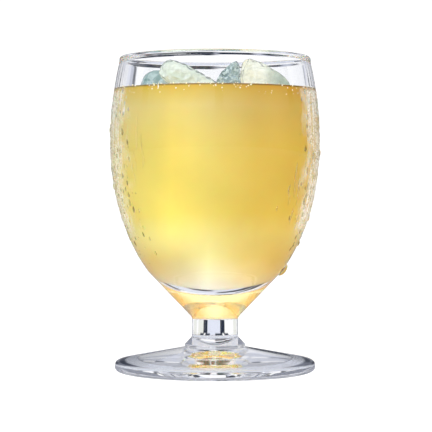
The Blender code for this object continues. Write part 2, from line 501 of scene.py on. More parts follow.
set_inputs(shader, {"Base Color": (*GLASS_TINT, 1), "IOR": GLASS_INDEX})
let_shadows_through(glass_material, GLASS_SHADOW)
glass.data.materials.append(glass_material)

# %% [markdown]
# ## The drink
# Water turns pastis cloudy: fine drops of anise oil scatter the light, so it looks like pale
# yellow milk. It wets the glass, so this piece reaches just into the wall, and no air gap shows.
# Where it meets the wall it climbs a little, which is the meniscus.

# %% Turn the drink
DRINK_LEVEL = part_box("drink")[1].z
REACH_INTO_WALL = 0.15 * MM
MENISCUS_RISE = 0.2 * MM
MENISCUS_WIDTH = 0.9 * MM
SURFACE_STEPS = 60
TOWARDS_WALL = 2.5
DRINK_AROUND = 192


def drink_surface(wall_radius):
    """Height = level + rise * exp(-distance to the wall / width), from the middle outwards."""
    radius = wall_radius * (1 - (1 - np.linspace(0, 1, SURFACE_STEPS)) ** TOWARDS_WALL)
    climb = MENISCUS_RISE * np.exp(-(wall_radius - radius) / MENISCUS_WIDTH)
    return np.column_stack([radius, DRINK_LEVEL + climb])


drink_side = inner_wall(-REACH_INTO_WALL, DRINK_LEVEL + MENISCUS_RISE)
drink_top = drink_surface(drink_side[-1, 0])
drink_outline = np.concatenate([drink_top[:-1], drink_side[::-1]])
drink = turned_piece("cloudy_drink", drink_outline, DRINK_AROUND)

# %% [markdown]
# The drink's colour goes by its height, from nearly white at the bottom to gold at the top. The
# near-white bottom is painted light from below, and a thin dark line at the top is painted shade at
# the waterline. From side to side, cooler at the left and browner at the right, the colour is
# painted light and shade. Soft clouds lie over both. Low on the back wall, where the solid cone
# shows the drink, a painted glow, a painted warmer tint and a painted lit line stand for the light
# that it gathers there and that makes the cone shine. The ends of the rim show the drink round
# several bends; there it is painted grey, a painted reflection in place of the greying by the
# glass.

# %% The drink's material
DRINK_INDEX = 1.34
DRINK_COLOURS_LIGHT_AND_SHADE = (
    # share of the drink's height, colour; the near-white first stops are painted light from below,
    # and the last two stops are a painted dark line at the waterline
    (0.000, (1.00, 0.97, 0.86)),
    (0.060, (1.00, 0.94, 0.62)),
    (0.150, (0.99, 0.90, 0.37)),
    (0.360, (0.98, 0.80, 0.165)),
    (0.620, (0.91, 0.74, 0.165)),
    (0.890, (0.84, 0.69, 0.245)),
    (0.955, (0.78, 0.60, 0.145)),
    (0.990, (0.74, 0.52, 0.08)),
    (0.996, (0.26, 0.22, 0.07)),
    (1.000, (0.22, 0.20, 0.08)),
)
SIDEWAYS_LIGHT_AND_SHADE = (
    # share of the way from left to right, tint: painted light at the left, painted shade at the
    # right
    (0.02, (0.66, 0.66, 0.92)),
    (0.16, (0.79, 0.79, 0.84)),
    (0.23, (0.86, 0.88, 0.88)),
    (0.31, (0.98, 0.97, 0.90)),
    (0.47, (0.86, 0.85, 0.89)),
    (0.68, (0.77, 0.66, 0.50)),
    (0.84, (0.78, 0.63, 0.40)),
    (0.94, (0.84, 0.68, 0.38)),
)
BOTTOM_LIGHT_AND_SHADE = (
    # the same for the bottom of the bowl: a painted bright middle, with painted shade at the sides
    (0.10, (0.62, 0.47, 0.34)),
    (0.24, (0.66, 0.49, 0.27)),
    (0.36, (0.75, 0.68, 0.58)),
    (0.47, (0.98, 0.98, 1.00)),
    (0.62, (0.88, 0.72, 0.48)),
    (0.74, (0.76, 0.52, 0.22)),
    (0.90, (0.72, 0.48, 0.20)),
)
BOTTOM_TINT_HEIGHT, BOTTOM_TINT_EDGE = 42.5 * MM, 6 * MM
CLOUD_SCALE = 45.0
CLOUD_SHADES = ((0.32, (0.88, 0.86, 0.80)), (0.66, (1.0, 1.0, 1.0)))
FROM_ABOVE = (0.86, 0.68, 0.26)
UPWARD, UPWARD_EDGE = 0.8, 0.1
# painted light where the solid cone shows the drink: a warmer tint, a glow and a lit line
SEEN_IN_CONE = (34 * MM, 56 * MM)
SEEN_IN_CONE_PAINTED_TINT = (0.94, 0.68, 0.42)
BEHIND_AXIS = 9 * MM
CONE_EDGE = 4 * MM
CONE_GLOW = 0.30
GLOW_COLOUR = (1.0, 0.65, 0.21)
LIT_LINE, LIT_LINE_EDGE = 1.1 * MM, 1.3 * MM
LIT_COLOUR = (1.0, 0.86, 0.46)
# painted reflection: the grey of the drink seen round several bends near the rim's ends
RIM_PAINTED_GREY = (0.72, 0.73, 0.79)
SEVERAL_BENDS = 2.5
RIM_REACH = 9 * MM
RIM_ENDS, RIM_ENDS_EDGE = 20 * MM, 2 * MM
PURE_WHITE = (1, 1, 1)
drink_material, tree, shader = new_material("cloudy_drink")
place = object_place(tree)
x, y, z = split(tree, place)
upwards = share_of(tree, z, FLOOR_HEIGHT, DRINK_LEVEL + MENISCUS_RISE)
sideways = share_of(tree, x, -WIDEST_RADIUS, WIDEST_RADIUS)
# painted light and shade from side to side, with its own tint at the bottom of the bowl
above_bottom = soft_step(tree, z, BOTTOM_TINT_HEIGHT, BOTTOM_TINT_EDGE)
bottom_light_and_shade = coloured_ramp(tree, sideways, BOTTOM_LIGHT_AND_SHADE)
tint = blend(tree, above_bottom, bottom_light_and_shade, coloured_ramp(tree, sideways, SIDEWAYS_LIGHT_AND_SHADE))
side_colour = multiplied(tree, coloured_ramp(tree, upwards, DRINK_COLOURS_LIGHT_AND_SHADE), tint)
facing = add_node(tree, "ShaderNodeNewGeometry").outputs["Normal"]
on_top = soft_step(tree, split(tree, facing)["Z"], UPWARD, UPWARD_EDGE)
drink_colour = blend(tree, on_top, side_colour, FROM_ABOVE)
clouds = noise(tree, place, CLOUD_SCALE, 3.0, Roughness=0.4)
drink_colour = multiplied(tree, drink_colour, coloured_ramp(tree, clouds, CLOUD_SHADES))

# %% What shows in the cone and at the ends of the rim
# painted light: where the cone shows the drink, a painted warmer tint, a painted glow and a painted
# lit line up the middle
in_cone = between(tree, z, SEEN_IN_CONE, CONE_EDGE)
in_cone = product(tree, in_cone, soft_step(tree, y, BEHIND_AXIS, CONE_EDGE))
cone_painted_tint = blend(tree, in_cone, PURE_WHITE, SEEN_IN_CONE_PAINTED_TINT)
drink_colour = multiplied(tree, drink_colour, cone_painted_tint)
from_middle = maths(tree, "ABSOLUTE", x)
beside_line = soft_step(tree, from_middle, LIT_LINE, LIT_LINE_EDGE)
lit = product(tree, in_cone, rest_of(tree, beside_line))
drink_colour = blend(tree, lit, drink_colour, LIT_COLOUR)
# painted reflection: deep rays near the rim's ends see the drink painted grey
bends = add_node(tree, "ShaderNodeLightPath").outputs["Ray Depth"]
round_about = maths(tree, "GREATER_THAN", bends, SEVERAL_BENDS)
near_rim = maths(tree, "GREATER_THAN", z, DRINK_LEVEL - RIM_REACH)
at_ends = soft_step(tree, from_middle, RIM_ENDS, RIM_ENDS_EDGE)
rim_painted_grey_share = product(tree, product(tree, round_about, near_rim), at_ends)
drink_colour = blend(tree, rim_painted_grey_share, drink_colour, RIM_PAINTED_GREY)
tree.links.new(drink_colour, shader.inputs["Base Color"])
tree.links.new(product(tree, in_cone, CONE_GLOW), shader.inputs["Emission Strength"])
drink_values = {
    "Emission Color": (*GLOW_COLOUR, 1),
    "Roughness": 0.5,
    "Specular IOR Level": 0.0,
    "Subsurface Weight": 0.5,
    "Subsurface Scale": 4 * MM,
}
set_inputs(shader, drink_values)
mirror = add_node(tree, "ShaderNodeBsdfGlossy", {"Roughness": 0.0, "Color": (*PURE_WHITE, 1)})
gloss = add_node(tree, "ShaderNodeFresnel", {"IOR": DRINK_INDEX / GLASS_INDEX})
mix = add_node(tree, "ShaderNodeMixShader")
join(tree, gloss, 0, mix, 0)
join(tree, shader, "BSDF", mix, 1)
join(tree, mirror, "BSDF", mix, 2)
join(tree, mix, "Shader", tree.nodes["Material Output"], "Surface")
drink.data.materials.append(drink_material)

# %% [markdown]
# ## The ice
# A melting cube is a rounded box with flat chips struck off it. Its points start on a welded grid
# over the six sides of a cube, go out to a superellipsoid, are pressed flat where a chip is gone,
# and then get the slow waves, the fine ripples and the creases of a melting surface.

# %% Shape a piece of ice
ICE_CELLS = 56
ICE_ROUNDING = 3.2
WAVE_SPREAD = (0.7, 1.4)
CHIP_SLANT = 0.62
CHIP_REACH = (0.80, 0.92)
SLOW_WAVES, SLOW_HEIGHT = (9 * MM, 9), 0.5 * MM
FINE_WAVES, FINE_HEIGHT, FINE_WITH_CRAGS = (1.8 * MM, 14), 0.10 * MM, 0.14 * MM
CREASE_WAVES, CREASE_RISE = (5 * MM, 5), 0.1


def cube_grid(cells):
    """The sides of a cube from -1 to 1 as one welded grid, spaced evenly as seen from within."""
    line = np.tan(np.linspace(-np.pi / 4, np.pi / 4, cells + 1))
    u, v = np.meshgrid(line, line, indexing="ij")
    one = np.ones_like(u)
    sides = [(one, u, v), (-one, v, u), (v, one, u), (u, -one, v), (u, v, one), (v, u, -one)]
    points = np.concatenate([np.stack(side, axis=-1).reshape(-1, 3) for side in sides])
    number = np.arange(len(points)).reshape(6, cells + 1, cells + 1)
    corners = [number[:, :-1, :-1], number[:, 1:, :-1], number[:, 1:, 1:], number[:, :-1, 1:]]
    quads = np.stack(corners, axis=-1).reshape(-1, 4)
    welded, index = np.unique(np.round(points, 6), axis=0, return_inverse=True)
    return welded, index.reshape(-1)[quads]


def waves(points, length, count, seed):
    """A smooth random height: the mean of sines along random directions, about length apart."""
    draw = np.random.default_rng(seed)
    directions = draw.normal(size=(count, 3))
    directions /= np.linalg.norm(directions, axis=1)[:, None] * length
    phases = draw.uniform(0, 2 * np.pi, count)
    spread = draw.uniform(*WAVE_SPREAD, (count, 1))
    return np.sin(2 * np.pi * points @ (directions * spread).T + phases).mean(axis=1)


def rotation(degrees):
    """The turn about X, then Y, then Z, as one matrix."""
    (cx, cy, cz), (sx, sy, sz) = np.cos(np.radians(degrees)), np.sin(np.radians(degrees))
    about_x = np.array([[1, 0, 0], [0, cx, -sx], [0, sx, cx]])
    about_y = np.array([[cy, 0, sy], [0, 1, 0], [-sy, 0, cy]])
    about_z = np.array([[cz, -sz, 0], [sz, cz, 0], [0, 0, 1]])
    return about_z @ about_y @ about_x


def ice_points(grid, edges, centre, turn, fall, chips, crags, seed):
    """Superellipsoid |x|^n + |y|^n + |z|^n = 1, cut flat by the chips' planes, scaled to its
    edges, its top lowered from left to right, waved and creased, then turned and moved."""
    draw = np.random.default_rng(seed)
    size = (np.abs(grid) ** ICE_ROUNDING).sum(axis=1) ** (1 / ICE_ROUNDING)
    points = grid / size[:, None]
    for _ in range(chips):
        normal = draw.normal(size=3)
        normal /= np.linalg.norm(normal)
        reach = np.abs(normal).sum() ** CHIP_SLANT * draw.uniform(*CHIP_REACH)
        over = np.maximum(points @ normal - reach, 0)
        points = points - over[:, None] * normal
    points = points * np.array(edges) / 2 * MM
    from_left = points[:, 0] / (edges[0] * MM)
    up = points[:, 2] / (edges[2] * MM) + 0.5
    points[:, 2] -= fall * MM * from_left * up
    slow = waves(points, *SLOW_WAVES, seed + 1) * SLOW_HEIGHT
    fine = waves(points, *FINE_WAVES, seed + 2) * (FINE_HEIGHT + FINE_WITH_CRAGS * crags)
    creases = CREASE_RISE - np.abs(waves(points, *CREASE_WAVES, seed + 3))
    outward = points / np.linalg.norm(points, axis=1)[:, None]
    points = points + outward * (slow + fine + crags * MM * creases)[:, None]
    return points @ rotation(turn).T + np.array(centre) * MM


# %% Place the four pieces
ICE = {
    # edges, centre, turn, fall of the top from left to right, chips, depth of its crags, seed
    "ice_left_back": ((16.0, 12.0, 18.6), (-17.6, 7.4, 91.0), (4, 3, 12), 1.5, 6, 1.0, 11),
    "ice_left_front": ((23.0, 13.5, 8.6), (-7.4, -7.8, 95.5), (5, 29, 3), 0.0, 5, 1.0, 23),
    "ice_middle": ((8.6, 10.6, 18.6), (4.2, 8.8, 92.8), (0, 2, -5), -8.0, 12, 2.4, 37),
    "ice_right": ((16.2, 16.0, 21.0), (17.6, -2.2, 91.4), (-3, -7, 4), 10.5, 6, 1.2, 41),
}
ice_grid, ice_quads = cube_grid(ICE_CELLS)
ice = {}
ice_shells = []
for name, shape in ICE.items():
    ice_shells.append(ice_points(ice_grid, *shape))
    ice[name] = mesh_piece("clear_" + name, ice_shells[-1], ice_quads)

# %% The ice's materials
ICE_LOOKS = {
    # cloud's colour (a dark painted shade on the left back and middle pieces), clear colour, least
    # and greatest share of cloud, tilt of its streaks
    "ice_left_back": ((0.20, 0.32, 0.30), (0.70, 0.84, 0.86), (0.35, 0.95), 0),
    "ice_left_front": ((0.66, 0.76, 0.63), (0.92, 0.97, 0.94), (0.55, 0.95), 29),
    "ice_middle": ((0.10, 0.17, 0.18), (0.66, 0.82, 0.86), (0.20, 0.90), -50),
    "ice_right": ((0.92, 0.93, 0.80), (0.90, 0.96, 0.92), (0.55, 0.97), 30),
}
# painted shade: the dark colour where a side turns away from the eye
ICE_EDGE_SHADE = (0.09, 0.11, 0.08)
ICE_CRACKS = {
    # width of a cracked grain, how much the grains show, their colour
    "ice_left_back": (1.8 * MM, 0.45, (0.74, 0.88, 0.90)),
    "ice_left_front": (2.2 * MM, 0.30, (0.95, 0.98, 0.95)),
    "ice_middle": (0.8 * MM, 0.90, (0.74, 0.88, 0.92)),
    "ice_right": (2.0 * MM, 0.25, (0.78, 0.80, 0.62)),
}
# painted shade: the cloud's colour at the far right of the glass, darker on the side away from the
# key lamp
RIGHT_END_SHADE = (0.40, 0.48, 0.36)
RIGHT_END_SHADE_FROM, RIGHT_END_SHADE_EDGE = 17.5 * MM, 2.5 * MM
WISP_SCALE, WISP_STEP = 420.0, (0.5, 0.16)
WISP_SQUEEZE = (0.3, 1, 1)
PIT_SCALE = 900.0
PITS = {"Strength": 0.45, "Distance": 0.35 * MM}
GRAIN_STEP = (0.6, 0.25)
EDGE_STEP = (0.80, 0.18)
ICE_INDEX = 1.31
ICE_SHADOW = (0.95, 0.97, 0.96)
for name, (cloud, clear, shares, tilt) in ICE_LOOKS.items():
    ice_material, tree, shader = new_material("clear_" + name)
    place = object_place(tree)
    turn = {"Rotation": (0, -np.radians(tilt), 0), "Scale": WISP_SQUEEZE}
    along = add_node(tree, "ShaderNodeMapping", turn)
    tree.links.new(place, along.inputs["Vector"])
    wisps = noise(tree, along.outputs[0], WISP_SCALE, 4.0, Distortion=0.4)
    bump = add_node(tree, "ShaderNodeBump", PITS)
    tree.links.new(noise(tree, place, PIT_SCALE, 3.0), bump.inputs["Height"])
    join(tree, bump, 0, shader, "Normal")
    grain_width, grain_share, grain_colour = ICE_CRACKS[name]
    grains = add_node(tree, "ShaderNodeTexVoronoi", {"Scale": 1 / grain_width})
    tree.links.new(place, grains.inputs["Vector"])
    grain_value = split(tree, grains.outputs["Color"])["X"]
    pale_grain = product(tree, soft_step(tree, grain_value, *GRAIN_STEP), grain_share)
    share = add_node(tree, "ShaderNodeMapRange", {"To Min": shares[0], "To Max": shares[1]})
    tree.links.new(soft_step(tree, wisps, *WISP_STEP), share.inputs[0])
    share = share.outputs[0]
    tree.links.new(rest_of(tree, share), shader.inputs["Transmission Weight"])
    turned_away = add_node(tree, "ShaderNodeLayerWeight", {"Blend": 0.5})
    edge = soft_step(tree, turned_away.outputs["Facing"], *EDGE_STEP)
    # painted shade: past the right end the cloud takes the darker right-end colour
    at_end = soft_step(tree, split(tree, place)["X"], RIGHT_END_SHADE_FROM, RIGHT_END_SHADE_EDGE)
    ice_colour = blend(tree, share, clear, blend(tree, at_end, cloud, RIGHT_END_SHADE))
    ice_colour = blend(tree, pale_grain, ice_colour, grain_colour)
    tree.links.new(blend(tree, edge, ice_colour, ICE_EDGE_SHADE), shader.inputs["Base Color"])
    set_inputs(shader, {"Roughness": 0.12, "IOR": ICE_INDEX})
    let_shadows_through(ice_material, ICE_SHADOW)
    ice[name].data.materials.append(ice_material)

# %% [markdown]
# ## Condensation
# The drink is ice-cold, so water settles on the outside of the bowl. It starts as a mist, gathers
# into drops, and the heaviest drops run down. A drop is a low dome that bulges a little over its
# own edge, narrower at the top. All drops are copies of one dome of rings, bent onto the wall:
# across the drop turns into an angle round the glass, along it into a height, and its thickness
# points straight out of the wall.

# %% Places on the outer wall
WALL_ABOVE = half_height(WIDEST_RADIUS, RIM_RADIUS, TOTAL_HEIGHT)
WALL_BELOW = half_height(WIDEST_RADIUS, *CONE_TOP)


def on_wall(angle, height, lift):
    """Radius = widest * sqrt(1 - t^2) with t = (height - widest height) / half height, at an
    angle from the front, then moved out by lift along the ellipse's normal."""
    semi = np.where(height > WIDEST_HEIGHT, WALL_ABOVE, WALL_BELOW)
    t = (height - WIDEST_HEIGHT) / semi
    radius = WIDEST_RADIUS * np.sqrt(1 - t**2)
    out, up = radius / WIDEST_RADIUS**2, t / semi
    size = np.hypot(out, up)
    radius = radius + lift * out / size
    height = height + lift * up / size
    return np.stack([radius * np.sin(angle), -radius * np.cos(angle), height], axis=-1)


# %% Bend domes of water onto the wall
DOME_REACH = 115.0
DOME_BASE = -0.45
TOP_NARROWING = 0.28


def dome(around, rings):
    """Rings at even angles from the top of a unit ball, past its middle, and a pole at each end."""
    polar = np.radians(np.linspace(0, DOME_REACH, rings + 1))[1:, None]
    turn = np.linspace(0, 2 * np.pi, around, endpoint=False)
    x, y = np.sin(polar) * np.cos(turn), np.sin(polar) * np.sin(turn)
    ring = np.stack([x, y, np.cos(polar) + 0 * turn], axis=-1)
    return np.concatenate([[[0, 0, 1]], ring.reshape(-1, 3), [[0, 0, DOME_BASE]]])


def water_piece(name, mesh_counts, angle, height, half_width, half_length, thickness, tilt, bend):
    """Across = half width * x * (1 - narrowing * y) + bend * sin(pi y), along = half length * y,
    lift = thickness * z, with across and along turned by tilt, for every drop at once."""
    unit = dome(*mesh_counts)
    x, y, z = unit.T
    across = half_width[:, None] * x * (1 - TOP_NARROWING * y) + bend[:, None] * np.sin(np.pi * y)
    along = half_length[:, None] * y
    cosine, sine = np.cos(tilt)[:, None], np.sin(tilt)[:, None]
    across, along = across * cosine - along * sine, across * sine + along * cosine
    heights = height[:, None] + along
    angles = angle[:, None] + across / WIDEST_RADIUS
    points = on_wall(angles, heights, thickness[:, None] * z).reshape(-1, 3)
    first = np.arange(len(angle))[:, None, None] * len(unit)
    quads, fans = closed_faces(mesh_counts[1], mesh_counts[0], unit)
    return mesh_piece(name, points, (first + quads).reshape(-1, 4), (first + fans).reshape(-1, 3))


# %% Spread the drops
WET_ANGLES = (0, 48, 56, 63, 180)
WET_SHARES = (0.0, 0.0, 0.25, 1.0, 1.0)
WET_HEIGHTS = (36 * MM, 50 * MM, 60 * MM, 90 * MM, 94 * MM)
WET_HEIGHT_SHARES = (0.04, 0.35, 1.0, 1.0, 0.1)


def spread_drops(count, seed, sizes, gap):
    """Random drops, wettest at the sides and the back, without those too near an earlier one."""
    draw = np.random.default_rng(seed)
    angle = draw.uniform(-np.pi, np.pi, count)
    height = draw.uniform(WET_HEIGHTS[0], WET_HEIGHTS[-1], count)
    size = sizes[0] + (sizes[1] - sizes[0]) * draw.uniform(0, 1, count) ** 2
    wet = np.interp(np.degrees(np.abs(angle)), WET_ANGLES, WET_SHARES)
    wet = wet * np.interp(height, WET_HEIGHTS, WET_HEIGHT_SHARES)
    kept = draw.uniform(0, 1, count) < wet
    angle, height, size = angle[kept], height[kept], size[kept]
    apart = np.hypot((angle[:, None] - angle) * WIDEST_RADIUS, height[:, None] - height)
    crowded = np.tril(apart < gap * (size[:, None] + size), -1).any(axis=1)
    return angle[~crowded], height[~crowded], size[~crowded], draw


DROP_TRIES, FINE_TRIES = 2600, 5200
DROP_SIZES, FINE_SIZES = (0.45 * MM, 0.85 * MM), (0.12 * MM, 0.28 * MM)
DROP_GAP, FINE_GAP = 1.3, 1.1
DROP_STRETCH, FINE_STRETCH = (1.2, 1.9), (0.9, 1.5)
DROP_THICKNESS, FINE_THICKNESS = 0.3, 0.55
DROP_MESH, FINE_MESH = (10, 4), (6, 3)
DROP_TILT = (0.06, 0.12)
angle, height, size, draw = spread_drops(DROP_TRIES, 5, DROP_SIZES, DROP_GAP)
length = size * draw.uniform(*DROP_STRETCH, len(size))
tilt = draw.normal(*DROP_TILT, len(size))
thickness = size * DROP_THICKNESS
water_drops = water_piece(
    "water_drops", DROP_MESH, angle, height, size, length, thickness, tilt, 0 * size
)
angle, height, size, draw = spread_drops(FINE_TRIES, 6, FINE_SIZES, FINE_GAP)
length = size * draw.uniform(*FINE_STRETCH, len(size))
thickness = size * FINE_THICKNESS
fine_drops = water_piece(
    "fine_drops", FINE_MESH, angle, height, size, length, thickness, 0 * size, 0 * size
)

# %% [markdown]
# A run is what a heavy drop leaves behind: a long, narrow, slightly winding ridge of water. The
# photograph shows a group of them at the lower right, a few fainter ones at the upper left, and
# a few large drops that can be placed one by one: two bulge out of the right edge, and one hangs
# where the bowl turns inwards to the cone.

# %% Runs and large drops
RUNS = (
    # angle from the front in degrees, height, half length in mm
    (46, 59, 3.4), (50, 64, 5.2), (54, 60, 4.6), (58, 66, 5.6), (62, 58, 5.0),
    (66, 65, 4.4), (71, 56, 4.6), (77, 62, 3.6), (52, 52, 2.8), (60, 50, 2.6),
    (-42, 73, 5.5), (-46, 79, 5.8), (-50, 66, 4.4), (-54, 76, 5.2), (-59, 84, 4.8),
    (-48, 70, 3.6), (-57, 66, 3.8), (120, 66, 5.0), (150, 74, 5.6), (-130, 70, 5.2),
)
LARGE_DROPS = (
    # angle, height, half width, half length, thickness
    (88, 72.8, 0.75, 1.25, 0.42), (86, 51.0, 0.7, 1.1, 0.42), (80, 33.9, 1.5, 1.9, 1.15),
    (-50, 53.7, 0.45, 0.7, 0.35), (-50, 48.3, 0.4, 0.65, 0.32), (-47, 44.6, 0.4, 0.7, 0.32),
    (-46, 39.9, 0.45, 0.7, 0.35), (38, 54.5, 0.35, 0.8, 0.3), (-118, 88.5, 0.5, 0.9, 0.3),
    (-86, 61.5, 0.6, 1.1, 0.4), (-88, 80.5, 0.6, 1.2, 0.4), (84, 42.5, 0.6, 0.9, 0.4),
)
DEGREE = np.pi / 180
RUN_WIDTHS = (0.4, 0.65)
RUN_BEND = 0.35
RUN_TILT = 0.03
LEFT_THICKNESS, RIGHT_THICKNESS = 0.12, 0.3
RUN_MESH, LARGE_MESH = (24, 8), (24, 10)
angle, height, length = np.array(RUNS).T * ((DEGREE,), (MM,), (MM,))
draw = np.random.default_rng(7)
width = draw.uniform(*RUN_WIDTHS, len(angle)) * MM
bend = draw.normal(0, RUN_BEND, len(angle)) * MM
tilt = draw.normal(0, RUN_TILT, len(angle))
thickness = width * np.where(angle < 0, LEFT_THICKNESS, RIGHT_THICKNESS)
water_runs = water_piece(
    "water_runs", RUN_MESH, angle, height, width, length, thickness, tilt, bend
)
units = ((DEGREE,), (MM,), (MM,), (MM,), (MM,))
angle, height, width, length, thickness = np.array(LARGE_DROPS).T * units
large_drops = water_piece(
    "large_drops", LARGE_MESH, angle, height, width, length, thickness, 0 * angle, 0 * angle
)
water = (water_drops, fine_drops, water_runs, large_drops)

# %% The water's material
WATER_SHADE_TINTS = {
    # darkest and lightest tint of the water; the dark tints are painted shade for the dark that the
    # drops bend into view
    "water_drops": ((0.44, 0.41, 0.24), (0.78, 0.75, 0.56)),
    "fine_drops": ((0.60, 0.57, 0.38), (0.96, 0.96, 0.90)),
    "water_runs": ((0.95, 0.92, 0.76), (1.00, 0.99, 0.92)),
    "large_drops": ((0.80, 0.78, 0.60), (0.92, 0.91, 0.80)),
}
WATER_SHADOW = (0.97, 0.97, 0.96)
RIPPLE_SCALE = 700.0
DARK_RIPPLE, LIGHT_RIPPLE = 0.35, 0.65
RUN_ROUGHNESS, DROP_ROUGHNESS = 0.2, 0.02
for piece in water:
    water_material, tree, shader = new_material(piece.name)
    ripple = noise(tree, object_place(tree), RIPPLE_SCALE, 2.0)
    # painted shade: the ripple runs from the dark painted tint to the light one
    darkest, lightest = WATER_SHADE_TINTS[piece.name]
    stops = ((DARK_RIPPLE, darkest), (LIGHT_RIPPLE, lightest))
    tree.links.new(coloured_ramp(tree, ripple, stops), shader.inputs["Base Color"])
    roughness = RUN_ROUGHNESS if piece is water_runs else DROP_ROUGHNESS
    set_inputs(shader, {"Transmission Weight": 1.0, "Roughness": roughness, "IOR": 1.33})
    let_shadows_through(water_material, WATER_SHADOW)
    piece.data.materials.append(water_material)

# %% [markdown]
# ## Bubbles
# Small bubbles cling to the wall just under the surface, float along the waterline, and gather
# round the ice. Each is a little ball that looks like a pale grain. The ones on the wall are
# pressed into it a little, so that they show in front of the cloudy drink.

# %% Scatter the bubbles
BUBBLE_CELLS = 3
WALL_BUBBLES = 420
ICE_BUBBLES = 160
LEAST_RADIUS, RADIUS_RANGE = 0.10 * MM, 0.20 * MM
ICE_BUBBLE_RADII = (0.15 * MM, 0.38 * MM)
ABOVE_LEVEL, BUBBLE_BAND, TOWARDS_LEVEL = 0.4 * MM, 3.4 * MM, 2.2
INTO_WALL = 0.25
NEAR_LEVEL = 0.25 * MM
CLEAR_OF_WALL = 1 * MM
ball_grid, ball_quads = cube_grid(BUBBLE_CELLS)
ball = ball_grid / np.linalg.norm(ball_grid, axis=1)[:, None]
draw = np.random.default_rng(8)
radius = LEAST_RADIUS + RADIUS_RANGE * draw.uniform(0, 1, WALL_BUBBLES) ** 2
angle = draw.uniform(-np.pi, np.pi, WALL_BUBBLES)
depth = BUBBLE_BAND * draw.uniform(0, 1, WALL_BUBBLES) ** TOWARDS_LEVEL
height = DRINK_LEVEL + ABOVE_LEVEL - depth
from_axis = np.interp(height, inside[:, 1], inside[:, 0]) + INTO_WALL * radius
on_glass = np.stack([from_axis * np.sin(angle), -from_axis * np.cos(angle), height], axis=-1)
ice_shell = np.concatenate(ice_shells)
at_level = ice_shell[np.abs(ice_shell[:, 2] - DRINK_LEVEL) < NEAR_LEVEL]
inside_glass = np.hypot(at_level[:, 0], at_level[:, 1]) < drink_side[-1, 0] - CLEAR_OF_WALL
round_ice = draw.choice(at_level[inside_glass], ICE_BUBBLES)
round_ice[:, 2] = DRINK_LEVEL
centres = np.concatenate([on_glass, round_ice])
radii = np.concatenate([radius, draw.uniform(*ICE_BUBBLE_RADII, ICE_BUBBLES)])
points = (centres[:, None] + radii[:, None, None] * ball).reshape(-1, 3)
quads = (np.arange(len(centres))[:, None, None] * len(ball) + ball_quads).reshape(-1, 4)
bubbles = mesh_piece("bubbles", points, quads)

# %% The bubbles' material
FOAM_SCALE = 1500.0
FOAM_COLOURS = ((0.35, (0.96, 0.84, 0.42)), (0.6, (1.0, 0.98, 0.86)))
bubble_material, tree, shader = new_material("pale_foam")
grain = noise(tree, object_place(tree), FOAM_SCALE, 2.0)
tree.links.new(coloured_ramp(tree, grain, FOAM_COLOURS), shader.inputs["Base Color"])
set_inputs(shader, {"Roughness": 0.15})
bubbles.data.materials.append(bubble_material)

# %% [markdown]
# ## Floor and light
# The drink stands on a pale floor in soft light from the sky and two lamps. Clear glass only shows
# by what it bends into view, so for bent rays the sky and the floor have soft dark bars, like the
# gaps between the lamps of a studio. They come again in each quarter of the turn, so that the
# glass shows them from every side. For rays that it throws back, sky and floor are darker and
# plainer. Seen directly, both are plain.

# %% The floor
FLOOR_RADIUS = 3.0
FLOOR_SIDES = 64
FLOOR_WHITE = (0.95, 0.95, 0.95)
floor_angle = np.linspace(0, 2 * np.pi, FLOOR_SIDES, endpoint=False)
floor_edge = np.column_stack([np.cos(floor_angle), np.sin(floor_angle), 0 * floor_angle])
floor = mesh_piece("floor", floor_edge * FLOOR_RADIUS, np.arange(FLOOR_SIDES)[None])
floor_material, tree, shader = new_material("pale_floor")
set_inputs(shader, {"Base Color": (*FLOOR_WHITE, 1), "Roughness": 0.9})
floor.data.materials.append(floor_material)
floor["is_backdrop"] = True

# %% The sky
QUARTER_CENTRE = 1.9
WHITE = (0.98, 0.98, 1.0)
SOFT_WHITE = (0.80, 0.80, 0.80)
MIRRORED = (0.34, 0.36, 0.44)
LAVENDER = (0.50, 0.52, 0.62)
PALE_LAVENDER = (0.76, 0.78, 0.88)
PALE_GREY = (0.62, 0.64, 0.72)
GREY = (0.20, 0.22, 0.29)
DARK = (0.012, 0.018, 0.035)
HEIGHT_EDGE, WIDTH_EDGE = np.radians((1.2, 0.35))
SKY_PANELS = (
    # degrees above the horizon, middle of a quarter, degrees from that middle, colour
    ((-3.0, 8.5), 3.6, (13.0, 17.6), PALE_LAVENDER),
    ((-3.0, 8.5), 3.6, (13.0, 15.2), LAVENDER),
    ((-3.0, 8.5), 3.6, (12.3, 13.4), DARK),
    ((1.0, 9.5), 1.9, (24.0, 26.5), DARK),
    ((1.0, 9.5), 1.9, (33.0, 36.0), DARK),
    ((9.0, 33.0), 1.9, (17.0, 46.0), PALE_GREY),
    ((14.0, 22.0), 1.9, (-1.0, 4.6), DARK),
    ((21.0, 33.0), 1.9, (-1.0, 9.0), DARK),
    ((22.0, 52.0), 1.9, (5.0, 17.0), DARK),
    ((12.0, 33.0), 1.9, (1.7, 3.1), LAVENDER),
    ((33.0, 52.0), 1.9, (17.0, 30.0), GREY),
)
# a dark panel for bent and thrown-back rays alike
FOOT_PANEL = ((8.0, 20.0), -4.7, (-1.0, 4.7))
MIRRORED_LOW = (0.07, 0.075, 0.09)
MIRRORED_LIMIT, MIRRORED_EDGE = np.radians((12.0, 4.0))
SKY_STRENGTH = 1.1


def in_bar(tree, axes, middle, widths):
    """1 between two angles from the middle of the nearest quarter of the turn, and 0 outside."""
    azimuth = maths(tree, "ARCTAN2", axes["X"], axes["Y"])
    azimuth = maths(tree, "SUBTRACT", azimuth, np.radians(middle))
    from_quarter = maths(tree, "PINGPONG", azimuth, np.pi / 4)
    return between(tree, from_quarter, np.radians(widths), WIDTH_EDGE)


